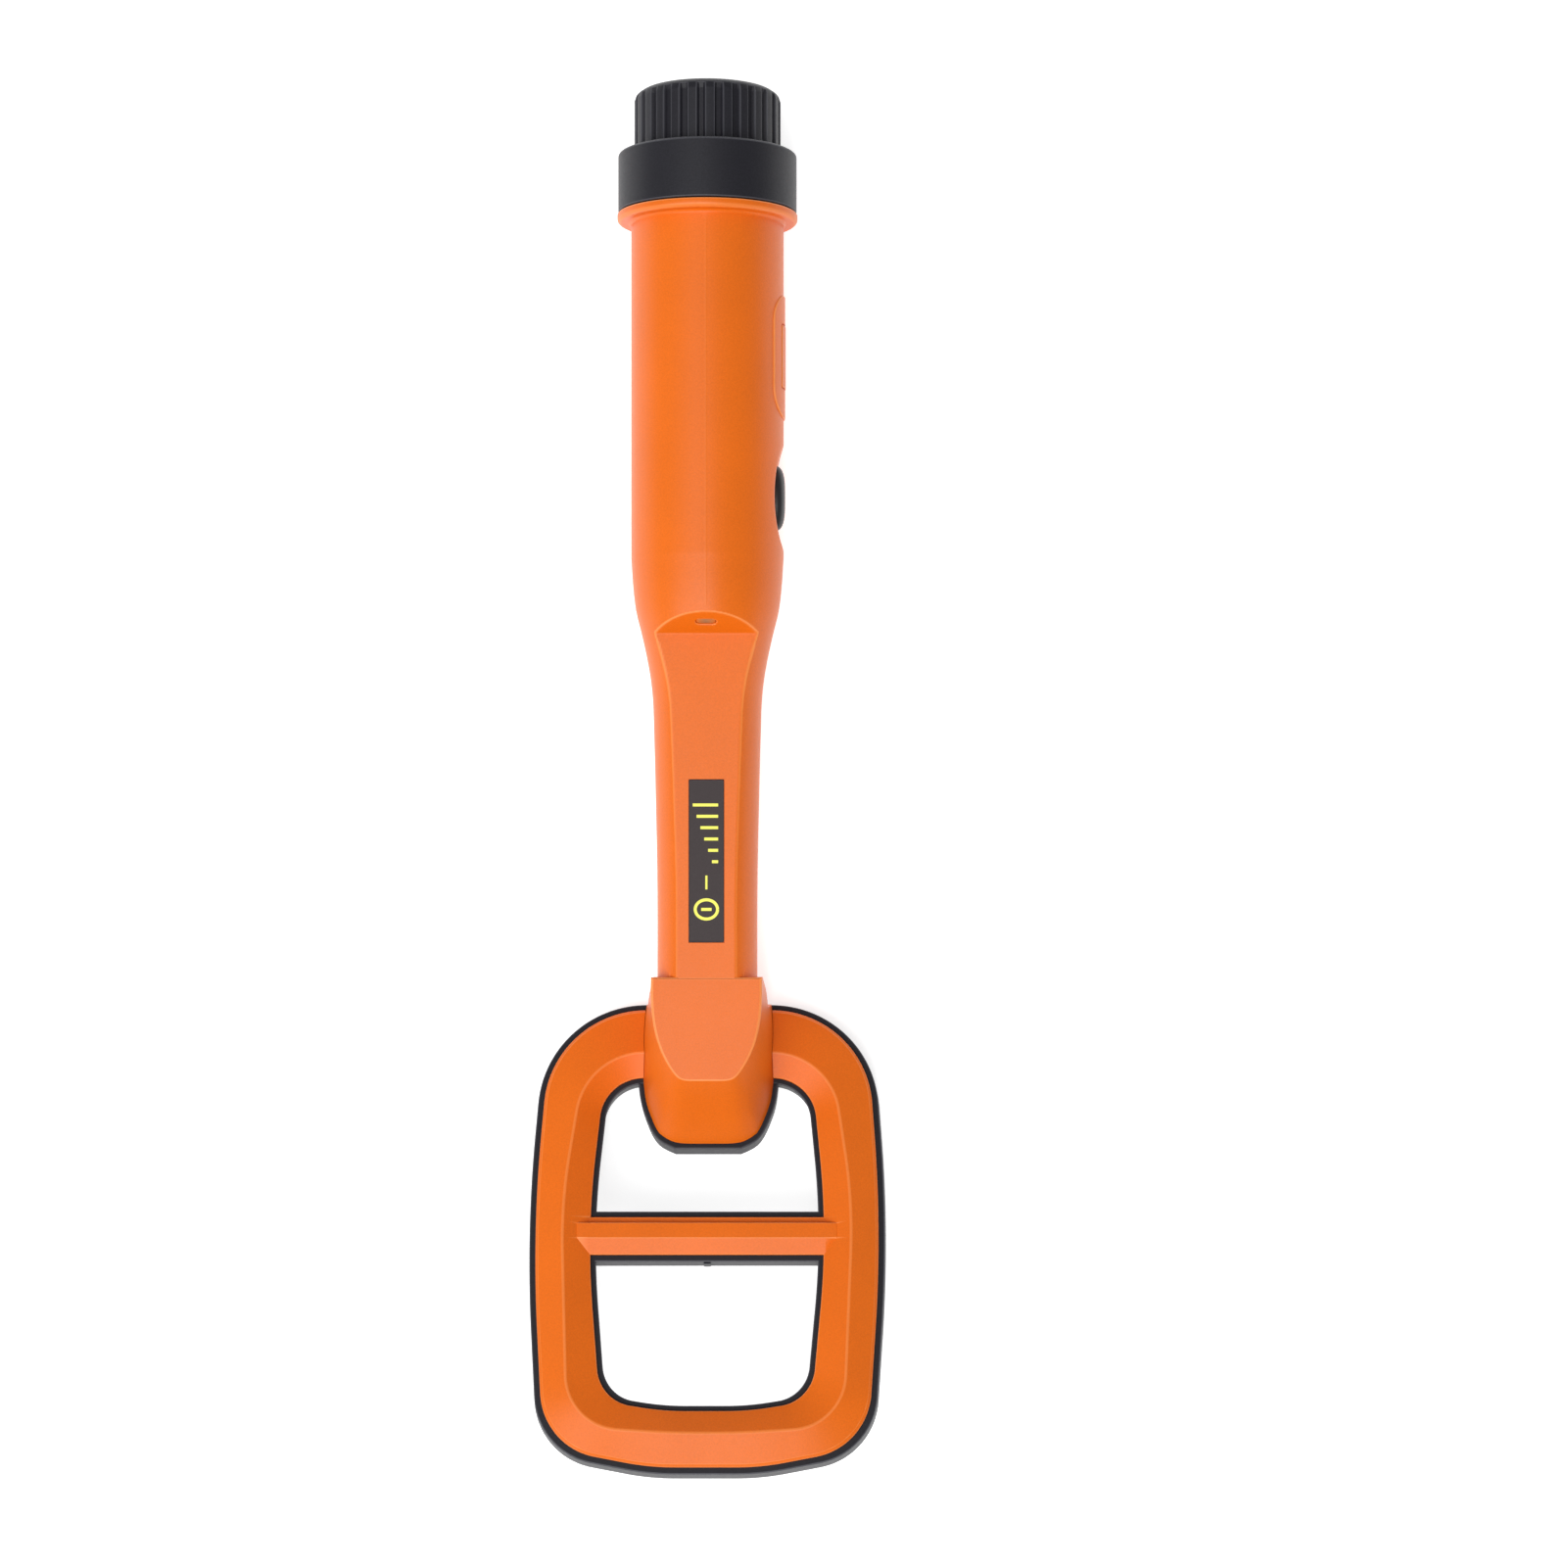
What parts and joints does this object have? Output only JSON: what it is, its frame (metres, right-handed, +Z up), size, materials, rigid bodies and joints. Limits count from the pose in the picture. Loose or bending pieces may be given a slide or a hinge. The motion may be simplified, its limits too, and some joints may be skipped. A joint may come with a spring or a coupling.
{
  "type": "pinpointer probe",
  "caption": "Hand-held metal detecting probe with a round battery tube, a flat-fronted neck and a loop search head with a crossbar.",
  "frame": {"origin": "on the floor under the middle of the probe's whole length", "axes": "+Z up out of the front face, +Y along the handle towards the battery cap, +X towards the side with the power button"},
  "size_m": [0.0946, 0.3614, 0.0474],
  "materials": {
    "orange_plastic": "fine spark-eroded grain, satin",
    "black_plastic": "fine spark-eroded grain, satin",
    "rubber": "moulded, matt",
    "label": "printed foil, satin",
    "smoked_lens": "polished, smoked",
    "led_epoxy": "clear epoxy",
    "board_green": "solder mask",
    "chip_black": "moulded epoxy",
    "capacitor_sleeve": "shrink sleeve",
    "white_plastic": "moulded nylon",
    "cell_sleeve": "plain printed sleeve",
    "copper": "enamelled wire",
    "steel": "plated",
    "brass": "stamped"
  },
  "bodies": {
    "handle": {"handle_housing": "orange_plastic", "head_cover": "orange_plastic", "head_tray": "black_plastic", "coil_winding": "copper", "coil_former": "white_plastic", "coil_lead": "rubber", "neck_grommet": "rubber", "label_plate": "label", "lamp_lens": "smoked_lens", "lamp_led": "led_epoxy", "tact_switch": "steel", "switch_board": "board_green", "main_board": "board_green", "processor_chip": "chip_black", "pulse_transistor": "chip_black", "capacitor_1": "capacitor_sleeve", "capacitor_2": "capacitor_sleeve", "buzzer": "chip_black", "lead_connector": "white_plastic", "vibration_motor": "steel", "board_screw_1": "steel", "board_screw_2": "steel", "bulkhead": "black_plastic", "bulkhead_pad": "brass", "bulkhead_ring": "brass", "battery_carrier": "black_plastic", "cell_1": "cell_sleeve", "cell_2": "cell_sleeve", "cell_3": "cell_sleeve", "carrier_spring_1": "steel", "carrier_spring_2": "steel", "carrier_spring_3": "steel", "carrier_pad": "brass", "cap_o_ring": "rubber"},
    "button": {"power_button": "rubber", "switch_plunger": "chip_black"},
    "cap_contact": {"cap_contact_disc": "brass", "cap_contact_spring": "steel"},
    "cap": {"battery_cap": "black_plastic"},
    "motor_rotor": {"motor_shaft": "steel", "motor_weight": "brass"}
  },
  "joints": [
    {"name": "button_press", "type": "slide", "parent": "handle", "child": "button", "axis": [-1, 0, 0], "range_m": [0, 0.0006], "stiffness_N_per_m": 1500},
    {"name": "cap_rise", "type": "slide", "parent": "handle", "child": "cap_contact", "axis": [0, 1, 0], "range_m": [0, 0.009]},
    {"name": "cap_turn", "type": "hinge", "parent": "cap_contact", "child": "cap", "pos_m": [0, 0.15, 0.02375], "axis": [0, 1, 0], "range_deg": [0, 1080]},
    {"name": "motor_spin", "type": "hinge", "parent": "handle", "child": "motor_rotor", "pos_m": [0, 0.058, 0.01425], "axis": [0, 1, 0], "continuous": true}
  ],
  "couplings": [
    {"joint": "cap_rise", "follows": "cap_turn", "m_per_rad": 0.00047746}
  ]
}
